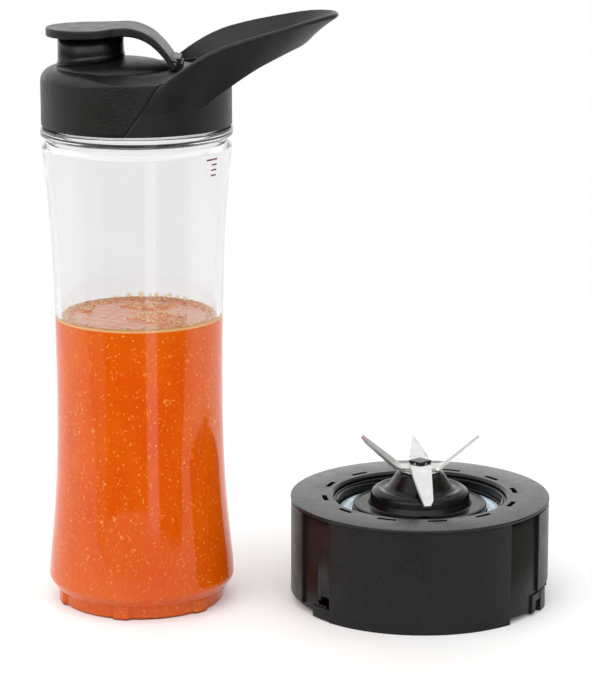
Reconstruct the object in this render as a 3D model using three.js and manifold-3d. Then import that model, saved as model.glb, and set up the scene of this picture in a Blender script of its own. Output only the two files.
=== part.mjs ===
// A personal blender's 0.6 l travel bottle with its drinking lid, and its blade unit standing beside it.
// Millimetres, +Z up. The origin is on the table, under the middle of the pair's bounding box.
// X runs from the bottle to the blade unit. The lid's carry loop points along +X, its spout along -X.

import * as THREE from "three";
import { mergeVertices } from "three/addons/utils/BufferGeometryUtils.js";
import Module from "manifold-3d";

const wasm = await Module();
wasm.setup();

// ---- Driving dimensions ----
const GAP = 0.3; // left between pieces that touch
const SEG = 28; // sides of a large turned piece
const SMALL_SEG = 16; // sides of a small turned piece
const FLANGE_R = 39.4; // bottle's flange, its widest ring
const RING_R = 54.35; // blade unit's top cover
const AXIS_SPACING = 117.1; // bottle's axis to blade unit's axis
const BOTTLE_X = -(AXIS_SPACING + RING_R - FLANGE_R) / 2;
const BLADE_X = BOTTLE_X + AXIS_SPACING;

const NECK_R = 33.4;
const MOUTH_R = 31;
const FLANGE_TOP = 200.9;
const RIM_Z = FLANGE_TOP + 9;
const THREAD = { lead: 8, turns: 0.6, width: 1.4, depth: 1.2, starts: 2 };
const BORE_R = 34.95; // bore that passes over the neck's thread, in the lid and in the blade carrier

// ---- Materials ----
const plastic = (color, roughness = 0.55) =>
  new THREE.MeshStandardMaterial({ color, roughness, metalness: 0 });
const metal = (color, roughness = 0.25) =>
  new THREE.MeshStandardMaterial({ color, roughness, metalness: 1 });
const clearPlastic = new THREE.MeshStandardMaterial({
  color: 0xf2f2f2,
  roughness: 0.05,
  transparent: true,
  opacity: 0.3,
});
const blackPlastic = plastic(0x262626, 0.5);
const glossBlack = plastic(0x181818, 0.25);
const blackRubber = plastic(0x1c1c1c, 0.8);
const clearSilicone = plastic(0xc4d2dc, 0.4);
const orangeDrink = plastic(0xee6a10, 0.35);
const steel = metal(0xd8d8d4, 0.2);
const bronze = metal(0xa8793c, 0.4);

// ---- Helpers ----
const point = (r, z) => new THREE.Vector2(r, z);
const points = (...pairs) => pairs.map(([r, z]) => point(r, z));
const radians = THREE.MathUtils.degToRad;

// A closed mesh as a solid, turned inside out first if its faces point in.
function solid(geometry) {
  const bare = geometry.clone();
  bare.deleteAttribute("normal");
  bare.deleteAttribute("uv");
  const merged = mergeVertices(bare, 1e-4);
  const triVerts = new Uint32Array(merged.index.array);
  const vertProperties = merged.attributes.position.array;
  const made = new wasm.Manifold(new wasm.Mesh({ numProp: 3, vertProperties, triVerts }));
  if (made.volume() >= 0) return made;
  const flipped = triVerts.slice().reverse();
  return new wasm.Manifold(new wasm.Mesh({ numProp: 3, vertProperties, triVerts: flipped }));
}

// A piece turned about Z from an outline of (radius, height). The outline closes on itself or on the axis.
function turned(outline, segments = SEG) {
  const onAxis = outline[0].x === 0 && outline.at(-1).x === 0;
  const closed = onAxis ? outline : [...outline, outline[0].clone()];
  return solid(new THREE.LatheGeometry(closed, segments).rotateX(Math.PI / 2));
}

function cylinder(r, z0, z1, { top = r, x = 0, y = 0, segments = SMALL_SEG } = {}) {
  const shape = new THREE.CylinderGeometry(top, r, z1 - z0, segments);
  return solid(shape.rotateX(Math.PI / 2).translate(x, y, (z0 + z1) / 2));
}

function tube(inner, outer, z0, z1, segments = SMALL_SEG) {
  return turned(points([inner, z0], [outer, z0], [outer, z1], [inner, z1]), segments);
}

function block(size, centre) {
  return solid(new THREE.BoxGeometry(...size).translate(...centre));
}

// A flat outline in X and Y, raised from z0 to z1.
function slab(outline, z0, z1) {
  const depth = z1 - z0;
  const shape = new THREE.ExtrudeGeometry(new THREE.Shape(outline), { depth, bevelEnabled: false });
  return solid(shape.translate(0, 0, z0));
}

// A side outline in X and Z, as wide as `width` across Y.
function sideProfile(outline, width) {
  const options = { depth: width, bevelEnabled: false };
  const shape = new THREE.ExtrudeGeometry(new THREE.Shape(outline), options);
  return solid(shape.translate(0, 0, -width / 2).rotateX(Math.PI / 2));
}

// A straight bar of the given section, its length from 0 to 1 cut into steps.
// Each vertex is moved by `place(u, v, t)`.
function bentBar(section, steps, place) {
  const options = { depth: 1, steps, bevelEnabled: false };
  const bar = new THREE.ExtrudeGeometry(new THREE.Shape(section), options);
  const position = bar.attributes.position;
  for (let i = 0; i < position.count; i++)
    position.setXYZ(i, ...place(position.getX(i), position.getY(i), position.getZ(i)));
  return solid(bar);
}

const union = (...solids) => solids.reduce((all, one) => all.add(one));
const turnAboutZ = (shape, degrees) => shape.rotate([0, 0, degrees]);

// Copies of a shape evenly round Z, the first turned by `start` degrees.
function around(shape, count, start) {
  return Array.from({ length: count }, (_, i) => turnAboutZ(shape, start + (360 / count) * i));
}

// Helical thread ridges between two radii, one for each start, rising from z0.
function threadRidges(rootR, crestR, z0) {
  const half = THREAD.width / 2;
  const section = points([rootR, -half], [crestR, -half / 2], [crestR, half / 2], [rootR, half]);
  const ridge = bentBar(section, 12, (r, z, t) => {
    const turn = t * THREAD.turns * 2 * Math.PI;
    return [r * Math.cos(turn), r * Math.sin(turn), z0 + z + t * THREAD.turns * THREAD.lead];
  });
  return union(...around(ridge, THREAD.starts, 0));
}

function addPart(group, name, shape, material) {
  const made = shape.getMesh();
  const geometry = new THREE.BufferGeometry();
  const stride = made.numProp;
  const position = new Float32Array(made.numVert * 3);
  for (let i = 0; i < made.numVert; i++)
    position.set(made.vertProperties.subarray(i * stride, i * stride + 3), i * 3);
  geometry.setAttribute("position", new THREE.BufferAttribute(position, 3));
  geometry.setIndex(new THREE.BufferAttribute(made.triVerts, 1));
  geometry.computeVertexNormals();
  const mesh = new THREE.Mesh(geometry, material);
  mesh.name = name;
  group.add(mesh);
}

// ---- Bottle ----
const WALL = 2.4;
const FLOOR_Z = 2.4; // inside of the bottle's floor, which fills the foot
const WELL_R = 31.6; // inside of the foot
const LIQUID_Z = 122.5;
const THREAD_Z = FLANGE_TOP + 1.9; // middle of the thread's lower end
const FOOT_R = 33.8;
// The waisted side of the body, from its widest ring near the foot up to the shoulder.
const bodySide = new THREE.SplineCurve(
  points([38.8, 13.5], [37.1, 34], [35.2, 56], [34.6, 85], [34.9, 127], [36.3, 162], [38.9, 191]),
);
const innerSide = (count) => bodySide.getPoints(count).map((p) => point(p.x - WALL, p.y));

function bottle() {
  const outline = [
    ...points([0, 0.6], [28, 0.6], [29, 0], [33.2, 0], [FOOT_R, 0.8], [FOOT_R, 5.2]),
    ...points([36.4, 6.8], [38.2, 9.8]),
    ...bodySide.getPoints(9),
    ...points([38.5, 193.8], [37.1, 195.6], [37.1, 197]),
    ...points([FLANGE_R, 197.7], [FLANGE_R, 200.4], [38.9, FLANGE_TOP], [NECK_R, FLANGE_TOP]),
    ...points([NECK_R, RIM_Z - 0.5], [NECK_R - 0.5, RIM_Z], [MOUTH_R + 0.4, RIM_Z], [MOUTH_R, RIM_Z - 0.5]),
    ...points([MOUTH_R, 201.5], [34.2, 196.5]),
    ...innerSide(7).reverse(),
    ...points([35.4, 9.4], [WELL_R, 7.2], [WELL_R, FLOOR_Z + 0.5], [WELL_R - 0.5, FLOOR_Z], [0, FLOOR_Z]),
  ];
  const lug = block([2.4, 7, 4.9], [FOOT_R - 0.2, 0, 2.5]);
  return union(turned(outline), threadRidges(NECK_R - 0.5, NECK_R + THREAD.depth, THREAD_Z), ...around(lug, 6, 18));
}

function smoothie() {
  const side = innerSide(10).filter((p) => p.y < LIQUID_Z - 4);
  const inset = side.map((p) => point(p.x - GAP, p.y));
  const bottomZ = FLOOR_Z + GAP;
  const wellR = WELL_R - GAP;
  const floor = points([0, bottomZ], [wellR - 0.4, bottomZ], [wellR, bottomZ + 0.4], [wellR, 7.6], [35, 9.8]);
  return turned([...floor, ...inset, ...points([32.2, LIQUID_Z], [0, LIQUID_Z])]);
}

// ---- Lid ----
const LID_R = 39;
const LID_BOTTOM = 201.6;
const DECK_Z = 222.6; // flat top at the rim
const PLATEAU_Z = 225; // raised middle of the top, set towards the spout
const DECK_T = 2.4;
const COLLAR_T = 1.9; // wall of the carry loop's half collar
const SPOUT_X = -18.8;
const SPOUT_TOP = 236.6;
const SPOUT_BORE_R = 8.6;
const DOME = { x: -8.8, r: 23.4, top: 228.8 };
const HINGE = { x: 16.2, z: 227.9, pinR: 1.2, holeR: 1.36, knuckleR: 2.5, lugHalf: 8.4, armHalf: 13.5 };

// The part of the lid behind the seam, where the carry loop's collar wraps the skirt.
function behindSeam(shift) {
  const seamX = (z) => -3 + (z - 203) * 0.725 + shift;
  return sideProfile(points([seamX(195), 195], [100, 195], [100, 260], [seamX(260), 260]), 100);
}

// A cylinder on the flap's hinge line, which runs along Y.
function hingeCylinder(r, length) {
  return solid(new THREE.CylinderGeometry(r, r, length, SMALL_SEG).translate(HINGE.x, 0, HINGE.z));
}

// The low dome under the flap, grown by a margin on every side.
function dome(margin) {
  const base = PLATEAU_Z - 0.5;
  const arc = new THREE.EllipseCurve(0, base, DOME.r + margin, DOME.top - base + margin, 0, Math.PI / 2);
  return turned([...points([0, base]), ...arc.getPoints(5)]).translate([DOME.x, 0, 0]);
}

function lidShell() {
  const ceiling = DECK_Z - DECK_T;
  const ribR = 31.6; // holds the gasket against the mouth's rim
  const ribZ = RIM_Z + 2.3;
  const inside = points([0, ceiling], [BORE_R, ceiling], [BORE_R, ribZ + 1.6], [ribR, ribZ + 1.6],
    [ribR, ribZ], [BORE_R, ribZ], [BORE_R, LID_BOTTOM]);
  const outside = points([LID_R, LID_BOTTOM], [LID_R, DECK_Z - 0.9], [LID_R - 0.9, DECK_Z], [0, DECK_Z]);
  const shell = turned([...inside, ...outside]);
  const plateauArc = new THREE.EllipseCurve(29.6, 219, 5.4, PLATEAU_Z - 219, 0, Math.PI / 2);
  const plateau = turned([...points([0, 219]), ...plateauArc.getPoints(5), ...points([0, PLATEAU_Z])]);
  const collarCut = tube(LID_R - COLLAR_T - GAP, LID_R + 3, 190, 240, SEG).intersect(behindSeam(0));
  const spout = cylinder(12.4, PLATEAU_Z - 1, SPOUT_TOP, { top: 10.9, x: SPOUT_X, segments: 28 });
  const bore = cylinder(SPOUT_BORE_R, 215, 240, { x: SPOUT_X, segments: 28 });
  const { x, z, lugHalf } = HINGE;
  const lug = union(
    hingeCylinder(2.7, 2 * lugHalf),
    block([5.2, 2 * lugHalf, z - PLATEAU_Z + 1], [x, 0, (z + PLATEAU_Z - 1) / 2]),
  );
  const ridges = threadRidges(BORE_R + 0.5, BORE_R - 0.9, THREAD_Z + THREAD.lead / 4);
  const top = union(plateau.translate([35 - LID_R, 0, 0]), dome(0), spout);
  return union(union(shell, top).subtract(collarCut), lug, ridges)
    .subtract(union(bore, hingeCylinder(HINGE.holeR, 40)));
}

// The front half of the loop's upper and lower edges, from the lid to the tip. The rear half mirrors it.
function edge(...list) {
  const corners = list.map((p) => new THREE.Vector3(...p));
  return new THREE.CatmullRomCurve3(corners, false, "centripetal");
}
const LOOP_TOP = edge([11.2, -38.6, 222.6], [22, -37.6, 229.9], [36, -35, 236.9], [49.5, -31.1, 240.8],
  [66.3, -23, 244.7], [76.7, -13.8, 245.9], [81, -6, 246.2], [82, 0, 246.2]);
const LOOP_BOTTOM = edge([3.5, -38.8, 212.4], [12, -37.1, 212.3], [20, -33.5, 212], [27.4, -28.9, 212.1],
  [36.8, -28.3, 220], [49, -24.8, 228], [60.4, -18.2, 233.5], [68, -9.6, 237.4], [71, 0, 238.8]);
const LOOP_T = 2.2;

// A point of the loop: s runs from the lid to the tip, v from lower to upper edge,
// u from outer to inner face.
function loopPoint(s, v, u) {
  const on = (t) => LOOP_BOTTOM.getPointAt(t).lerp(LOOP_TOP.getPointAt(t), v);
  const along = on(Math.min(s + 0.01, 1)).sub(on(Math.max(s - 0.01, 0)));
  if (s === 1) along.set(0, 1, 0);
  const inward = new THREE.Vector3(-along.y, along.x, 0).setLength(u * LOOP_T);
  return on(s).add(inward);
}

// Carry loop: a half collar behind the seam, and a flared band that leaves it on both sides
// and meets at the tip.
function carryLoop() {
  const inside = cylinder(LID_R - COLLAR_T, 190, PLATEAU_Z + GAP, { segments: SEG });
  const outline = points([0, LID_BOTTOM], [LID_R, LID_BOTTOM], [LID_R, 223.6], [LID_R - 0.9, 225], [0, 225]);
  const collar = turned(outline);
  const section = points([0, 0], [1, 0], [1, 1], [0, 1]);
  const band = bentBar(section, 32, (u, v, t) => {
    const p = loopPoint(1 - Math.abs(2 * t - 1), v, u);
    return [p.x, t < 0.5 ? p.y : -p.y, p.z];
  });
  return union(collar, band).subtract(inside).intersect(behindSeam(GAP));
}

function flap() {
  const discR = 17.5;
  const bottomZ = 237.9;
  const topZ = 241.4;
  const disc = cylinder(discR, bottomZ, topZ, { x: SPOUT_X - 0.4, segments: 32 });
  const armTop = points([-16, topZ], [-3.2, 242], [7.3, 238.3], [13.1, 232.7], [17.2, 227.9]);
  const armBottom = points([14.2, 227.9], [10.1, 232.2], [4.3, 236.4], [-3.5, 238.1], [-16, bottomZ]);
  const upper = new THREE.SplineCurve(armTop);
  const lower = new THREE.SplineCurve(armBottom);
  const { knuckleR, holeR, lugHalf, armHalf } = HINGE;
  const arm = sideProfile([...upper.getPoints(12), ...lower.getPoints(12)], 2 * armHalf);
  const lugRoom = union(
    hingeCylinder(3.2, 2 * lugHalf + 2 * GAP),
    block([6.4, 2 * lugHalf + 2 * GAP, 4], [HINGE.x, 0, HINGE.z - 2]),
  );
  const skirt = tube(12.75, 13.4, PLATEAU_Z + 0.5, bottomZ + 1, 28).translate([SPOUT_X, 0, 0]);
  const cap = skirt.subtract(dome(0.6));
  const knuckle = hingeCylinder(knuckleR, 2 * armHalf);
  return union(disc, arm, cap, knuckle).subtract(union(lugRoom, hingeCylinder(holeR, 60)));
}

function flapPlug() {
  const outline = points([0, 234.6], [7, 234.6], [7.6, 236.9], [12.2, 236.9], [12.2, 237.6], [0, 237.6]);
  return turned(outline, 28).translate([SPOUT_X, 0, 0]);
}

const hingePin = () => hingeCylinder(HINGE.pinR, 2 * HINGE.armHalf - 0.6);

// ---- Blade unit ----
const RING_TOP = 44.5;
const HOUSING_R = 53;
const HOUSING_TOP = 42.6;
const LEDGE_Z = 33.5; // housing's shelf that carries the blade carrier
const SHAFT_R = 4;
const BOSS_R = 45.5; // radius of the screws' circle
const BEARING_BORE = 7.3;

// A shape at each of the four screws.
const bosses = (shape) => around(shape.translate([BOSS_R, 0, 0]), 4, 45);

// A piece of a ring between two angles, measured from the front (-Y) towards +X.
function ringPiece(inner, outer, z0, z1, from, to) {
  const shape = new THREE.Shape();
  shape.absarc(0, 0, outer, radians(from - 90), radians(to - 90), false);
  shape.absarc(0, 0, inner, radians(to - 90), radians(from - 90), true);
  const options = { depth: z1 - z0, bevelEnabled: false, curveSegments: 8 };
  return solid(new THREE.ExtrudeGeometry(shape, options).translate(0, 0, z0));
}

function collarHousing() {
  const inner = HOUSING_R - 1.8;
  const wall = turned(points([inner, 2.3], [HOUSING_R, 2.3], [HOUSING_R, HOUSING_TOP], [inner, HOUSING_TOP],
    [inner, LEDGE_Z], [39, LEDGE_Z], [39, LEDGE_Z - 2.5], [inner, LEDGE_Z - 2.5]));
  const half = union(
    ringPiece(inner + 0.2, HOUSING_R + 0.6, 0, HOUSING_TOP, -46, 42),
    ringPiece(HOUSING_R - 1, RING_R - 0.1, 9.6, HOUSING_TOP, 63, 88),
    ringPiece(HOUSING_R - 1, RING_R - 0.1, 3.5, HOUSING_TOP, -88, -63),
    ringPiece(HOUSING_R - 1, RING_R, 0, 8.8, 66, 73),
    ringPiece(HOUSING_R - 1, RING_R - 0.4, 5.6, 8.8, 58, 66),
  );
  const window = ringPiece(inner - 1, HOUSING_R + 3, 4, 8.6, -59, -47);
  const boss = cylinder(3.2, 3.8, LEDGE_Z - 1);
  const bossHole = cylinder(1.4, 2, 17, { segments: 12 });
  return union(wall, half, turnAboutZ(half, 180), ...bosses(boss))
    .subtract(union(window, turnAboutZ(window, 180), ...bosses(bossHole)));
}

function topCover() {
  const ring = turned(points([36.6, 42.9], [53.9, 42.9], [RING_R, 43.3], [RING_R, 44], [53.8, RING_TOP],
    [37.8, RING_TOP], [36.2, 43.8]));
  const slot = block([7.8, 1.5, 6], [0, -40.3, 43]);
  const tab = block([5, 1.4, 6], [0, -49.8, 40.2]);
  return union(ring, ...around(tab, 6, 30)).subtract(union(...around(slot, 12, 8)));
}

function bladeCarrier() {
  const underside = points([BEARING_BORE, 21.9], [9.8, 21.9], [9.8, 50], [13, 45.2], [17.4, 44], [18.7, 39.4],
    [24.6, 39.4], [24.6, 33.8]);
  const channel = points([44.5, 33.8], [44.5, 36], [37.4, 36], [37.4, 42.5], [BORE_R, 42.5], [BORE_R, 36.4],
    [26.9, 36.4], [26.9, 41]);
  const hub = points([26.3, 41.6], [20.8, 41.6], [19.6, 45.2], [18.2, 46.8], [16, 47.4], [14.3, 47.6],
    [9.9, 53.9], [9.2, 54.5], [BEARING_BORE, 54.5]);
  const shell = turned([...underside, ...channel, ...hub]);
  const ridges = threadRidges(BORE_R + 0.5, BORE_R - 0.9, 37.6);
  const aboveFloor = tube(30, 40, 36.6, 42.3, SEG);
  return union(shell, ridges.intersect(aboveFloor));
}

const bottleSeal = () => turned(points([27.3, 36.7], [33.4, 36.7], [33.4, 37.9], [31.4, 38.3], [27.3, 38.3]));

function bottomCover() {
  return tube(23, 50.7, 1.5, 3.5, SEG).subtract(union(...bosses(cylinder(1.7, 0, 5, { segments: 12 }))));
}

function bottomScrew(index) {
  const outline = points([0, 0.2], [2.4, 0.2], [2.9, 0.7], [2.9, 1.2], [1.1, 1.2], [1.1, 13.6], [0, 14.8]);
  return bosses(turned(outline, 12))[index];
}

const bush = (z0, z1) => tube(SHAFT_R + 0.15, BEARING_BORE - GAP, z0, z1);

// Shaft with a clip groove near its foot and a square end that drives the blades.
function bladeShaft() {
  const body = turned(points([0, 8], [SHAFT_R, 8], [SHAFT_R, 20.1], [3.2, 20.1], [3.2, 21.3], [SHAFT_R, 21.3],
    [SHAFT_R, 55.2], [0, 55.2]), SMALL_SEG);
  return union(body, block([5.2, 5.2, 3.8], [0, 0, 56.8]));
}

const BLADE_T = 1.3;
const BEND_R = 8.2; // from the axis to the bend lines

// One blade arm along +X, its width narrowing to the tip.
// It bends about the hub's lower edge when it rises and about the upper edge when it falls.
function bladeArm({ slope, length, root, tip }, z) {
  const front = points([0, -root / 2], [length, -tip / 2]);
  const back = points([length, tip / 2 - 1], [length - 1, tip / 2], [0, root / 2]);
  const outline = [...front, ...back];
  const edge = slope > 0 ? 0 : BLADE_T;
  return slab(outline, -edge, BLADE_T - edge).rotate([0, -slope, 0]).translate([BEND_R, 0, z + edge]);
}

function blade(z, hubWidth, arms) {
  const hub = block([2 * BEND_R, hubWidth, BLADE_T], [0, 0, z + BLADE_T / 2]);
  const made = arms.map((arm, i) => turnAboutZ(bladeArm(arm, z), 180 * i));
  return union(hub, ...made).subtract(block([5.8, 5.8, 10], [0, 0, z]));
}

const LOWER_BLADE_Z = 55.6;
const UPPER_BLADE_Z = LOWER_BLADE_Z + BLADE_T + GAP;
const lowerBlade = () => {
  const arm = { slope: 40, length: 21, root: 8.4, tip: 3.6 };
  return blade(LOWER_BLADE_Z, 8.4, [arm, arm]);
};
const upperBlade = () =>
  turnAboutZ(blade(UPPER_BLADE_Z, 8.8, [
    { slope: -31, length: 18.5, root: 8.8, tip: 5 },
    { slope: 18, length: 17.5, root: 8, tip: 2.6 },
  ]), -90);

function retainingClip() {
  const ring = tube(3.5, 6.4, 20.4, 21, SMALL_SEG);
  return ring.subtract(block([8, 5.4, 4], [5.5, 0, 20.6]));
}

function driveCoupling() {
  const lobes = 6;
  const outline = Array.from({ length: 48 }, (_, i) => {
    const angle = (i / 48) * 2 * Math.PI;
    const r = 11 + 1.9 * Math.cos(lobes * angle);
    return point(r * Math.cos(angle), r * Math.sin(angle));
  });
  const hub = cylinder(9, 15.5, 19.2);
  const bore = cylinder(SHAFT_R + 0.3, 7.6, 25);
  return union(slab(outline, 5.5, 15.6), hub).subtract(bore);
}

// ---- Assembly ----
const root = new THREE.Group();
const bottleSide = new THREE.Group();
bottleSide.position.x = BOTTLE_X;
const bladeSide = new THREE.Group();
bladeSide.position.x = BLADE_X;
root.add(bottleSide, bladeSide);

addPart(bottleSide, "bottle", bottle(), clearPlastic);
addPart(bottleSide, "smoothie", smoothie(), orangeDrink);
addPart(bottleSide, "lid_shell", lidShell(), blackPlastic);
addPart(bottleSide, "carry_loop", carryLoop(), blackPlastic);
addPart(bottleSide, "lid_gasket", tube(31.8, 34.5, RIM_Z + GAP, RIM_Z + 2, SEG), clearSilicone);
addPart(bottleSide, "spout_flap", flap(), glossBlack);
addPart(bottleSide, "spout_plug", flapPlug(), blackRubber);
addPart(bottleSide, "flap_hinge_pin", hingePin(), steel);

addPart(bladeSide, "collar_housing", collarHousing(), blackPlastic);
addPart(bladeSide, "collar_top_cover", topCover(), blackPlastic);
addPart(bladeSide, "blade_carrier", bladeCarrier(), glossBlack);
addPart(bladeSide, "bottle_seal", bottleSeal(), clearSilicone);
addPart(bladeSide, "bottom_cover", bottomCover(), blackPlastic);
for (let i = 0; i < 4; i++) addPart(bladeSide, `bottom_screw_${i + 1}`, bottomScrew(i), steel);
addPart(bladeSide, "upper_bush", bush(44, 52.5), bronze);
addPart(bladeSide, "lower_bush", bush(22.6, 31), bronze);
addPart(bladeSide, "shaft_seal", tube(SHAFT_R + 0.2, BEARING_BORE - GAP, 52.8, 54.3), blackRubber);
addPart(bladeSide, "blade_shaft", bladeShaft(), steel);
addPart(bladeSide, "blade_washer", tube(SHAFT_R + GAP, 8.4, 54.8, 55.25), steel);
addPart(bladeSide, "lower_blade", lowerBlade(), steel);
addPart(bladeSide, "upper_blade", upperBlade(), steel);
addPart(bladeSide, "thrust_washer", tube(SHAFT_R + 0.15, 6.9, 21.5, 22.3), steel);
addPart(bladeSide, "retaining_clip", retainingClip(), steel);
addPart(bladeSide, "drive_coupling", driveCoupling(), blackPlastic);

export default root;
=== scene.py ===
"""Looks for a personal blender's travel bottle of orange smoothie and its blade unit, round the CAD frame."""

import functools
import math
import random

import bmesh
import bpy
from mathutils import Matrix, Vector


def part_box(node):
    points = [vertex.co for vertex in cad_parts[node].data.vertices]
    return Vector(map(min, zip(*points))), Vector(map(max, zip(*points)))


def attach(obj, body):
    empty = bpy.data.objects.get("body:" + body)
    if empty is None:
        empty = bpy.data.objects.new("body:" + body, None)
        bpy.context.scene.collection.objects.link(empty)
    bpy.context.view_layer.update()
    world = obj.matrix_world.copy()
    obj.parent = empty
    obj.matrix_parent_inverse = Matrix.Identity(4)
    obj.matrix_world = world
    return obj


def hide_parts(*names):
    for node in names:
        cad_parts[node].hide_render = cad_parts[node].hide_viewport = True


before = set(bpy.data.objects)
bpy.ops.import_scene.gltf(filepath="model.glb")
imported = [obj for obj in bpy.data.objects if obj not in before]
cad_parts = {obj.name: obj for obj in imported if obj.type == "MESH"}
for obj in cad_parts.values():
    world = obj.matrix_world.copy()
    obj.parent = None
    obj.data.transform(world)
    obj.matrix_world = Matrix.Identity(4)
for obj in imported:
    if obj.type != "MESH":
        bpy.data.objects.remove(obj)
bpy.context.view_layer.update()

MM = 0.001
TAU = 2 * math.pi
rng = random.Random(11)


def middle_x(node):
    low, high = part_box(node)
    return (low.x + high.x) / 2 / MM


BOTTLE_X = middle_x("bottle")
UNIT_X = middle_x("collar_top_cover")
LIQUID_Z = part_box("smoothie")[1].z / MM
RIM_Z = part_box("bottle")[1].z / MM
RING_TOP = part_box("collar_top_cover")[1].z / MM


# ---- Camera ----
CAMERA_PLACE = (-0.00119, -1.190, 0.385)
CAMERA_PITCH = 12.97
camera_data = bpy.data.cameras.new("camera")
camera_data.lens = 155.67
camera_data.sensor_width = 36
camera_data.sensor_fit = "AUTO"
camera = bpy.data.objects.new("camera", camera_data)
camera.location = CAMERA_PLACE
camera.rotation_euler = (math.radians(90 - CAMERA_PITCH), 0, 0)
bpy.context.scene.collection.objects.link(camera)
bpy.context.scene.camera = camera


# ---- Mesh helpers: all take millimetres and degrees ----
def smoothstep(a, b, x):
    t = min(max((x - a) / (b - a), 0), 1)
    return t * t * (3 - 2 * t)


def lerp(a, b, t):
    return a + (b - a) * t


def edges_above(bm, degrees):
    """Edges whose two faces meet at more than an angle."""
    limit = math.radians(degrees)
    return [e for e in bm.edges if len(e.link_faces) == 2 and e.calc_face_angle(0) > limit]


def shade_smooth(bm, sharp_angle=None):
    """Smooth faces, with sharp edges where two faces meet at more than sharp_angle."""
    for face in bm.faces:
        face.smooth = True
    if sharp_angle is not None:
        for edge in edges_above(bm, sharp_angle):
            edge.smooth = False


def place_mesh(name, mesh, material):
    mesh.materials.append(material)
    obj = bpy.data.objects.new(name, mesh)
    bpy.context.scene.collection.objects.link(obj)
    return obj


def place_bmesh(name, bm, material):
    mesh = bpy.data.meshes.new(name)
    bm.to_mesh(mesh)
    bm.free()
    return place_mesh(name, mesh, material)


def make_object(name, verts, faces, material, sharp_angle=None, weld=True):
    mesh = bpy.data.meshes.new(name)
    mesh.from_pydata([(x * MM, y * MM, z * MM) for x, y, z in verts], [], faces)
    bm = bmesh.new()
    bm.from_mesh(mesh)
    if weld:
        bmesh.ops.remove_doubles(bm, verts=bm.verts, dist=1e-7)
        bmesh.ops.dissolve_degenerate(bm, edges=bm.edges, dist=1e-7)
    bmesh.ops.recalc_face_normals(bm, faces=bm.faces)
    shade_smooth(bm, sharp_angle)
    bm.to_mesh(mesh)
    bm.free()
    return place_mesh(name, mesh, material)


def rounded(corners, steps=4, support=0.25):
    """An outline whose corners (r, z, radius) become arcs, with a support point on each side of an arc.

    Corners without a radius stay sharp, and so do both ends of an outline that starts and ends on the axis.
    """
    shortest_lead = 0.02
    nearly_straight = 1.55
    count = len(corners)
    sharp = (0, count - 1) if corners[0][0] == 0 == corners[-1][0] else ()
    points = []
    for i, (x, y, *radius) in enumerate(corners):
        p = Vector((x, y))
        u, w = (Vector(corners[k % count][:2]) - p for k in (i - 1, i + 1))
        half = u.angle(w) / 2
        if not radius or i in sharp or half > nearly_straight:
            points.append((x, y))
            continue
        room = 0.48 * min(u.length, w.length)
        cut = min(radius[0] / math.tan(half), room)
        u.normalize()
        w.normalize()
        centre = p + (u + w).normalized() * (cut / math.cos(half))
        start, end = p + u * cut, p + w * cut
        lead = min(support, room - cut)
        turn = math.pi - 2 * half
        if lead > shortest_lead:
            points.append(tuple(start + u * lead))
        for k in range(steps + 1):
            from_start = math.sin((1 - k / steps) * turn) / math.sin(turn)
            from_end = math.sin(k / steps * turn) / math.sin(turn)
            points.append(tuple(centre + (start - centre) * from_start + (end - centre) * from_end))
        if lead > shortest_lead:
            points.append(tuple(end + w * lead))
    return points


def band(r0, r1, z0, z1, inner, outer=None):
    """The section of a flat ring, with a radius for its inner and its outer corners."""
    outer = inner if outer is None else outer
    return [(r0, z0, inner), (r1, z0, outer), (r1, z1, outer), (r0, z1, inner)]


def grid_faces(rows, cols, wrap_rows, wrap_cols, start=0):
    faces = []
    for i in range(rows if wrap_rows else rows - 1):
        for j in range(cols if wrap_cols else cols - 1):
            here, there = start + i * cols, start + ((i + 1) % rows) * cols
            after = (j + 1) % cols
            faces.append((here + j, here + after, there + after, there + j))
    return faces


def end_caps(rows, size):
    """The two end faces of a bar whose sections have `size` points each."""
    return [tuple(range(size)), tuple(range((rows - 1) * size, rows * size))]


def polar(r, angle, z, x=BOTTLE_X):
    """A point at a radius and an angle in radians about an upright axis."""
    return (x + r * math.cos(angle), r * math.sin(angle), z)


def turned_mesh(profile, x=0.0, y=0.0, segments=144, shape=None):
    """Vertices and faces of a profile of (r, z) turned about Z. It closes on itself or on the axis."""
    on_axis = profile[0][0] == 0 == profile[-1][0]
    verts = []
    for r, z in profile:
        for j in range(segments):
            angle = TAU * j / segments
            rr, zz = shape(angle, r, z) if shape else (r, z)
            verts.append((x + rr * math.cos(angle), y + rr * math.sin(angle), zz))
    return verts, grid_faces(len(profile), segments, not on_axis, True)


def turned(name, corners, material, x, segments=144, shape=None, steps=4, sharp=None):
    verts, faces = turned_mesh(rounded(corners, steps), x, 0, segments, shape)
    return make_object(name, verts, faces, material, sharp)


def prism(name, outline, z0, z1, material, bevel=0.3, bevel_steps=2, place=None):
    """An outline in X and Y raised from z0 to z1 with rounded edges, then moved point by point by `place`."""
    bm = bmesh.new()
    face = bm.faces.new([bm.verts.new((x * MM, y * MM, z0 * MM)) for x, y in outline])
    raised = bmesh.ops.extrude_face_region(bm, geom=[face])
    bmesh.ops.translate(bm, verts=[v for v in raised["geom"] if isinstance(v, bmesh.types.BMVert)],
                        vec=(0, 0, (z1 - z0) * MM))
    bmesh.ops.recalc_face_normals(bm, faces=bm.faces)
    if bevel:
        bmesh.ops.bevel(bm, geom=edges_above(bm, 35), offset=bevel * MM, segments=bevel_steps, profile=0.5,
                        affect="EDGES", clamp_overlap=True)
    shade_smooth(bm, 50)
    if place:
        for v in bm.verts:
            v.co = Vector([c * MM for c in place(v.co.x / MM, v.co.y / MM, v.co.z / MM)])
        bmesh.ops.recalc_face_normals(bm, faces=bm.faces)
    obj = place_bmesh(name, bm, material)
    obj.modifiers.new("weighted_normals", "WEIGHTED_NORMAL").keep_sharp = True
    return obj


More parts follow.
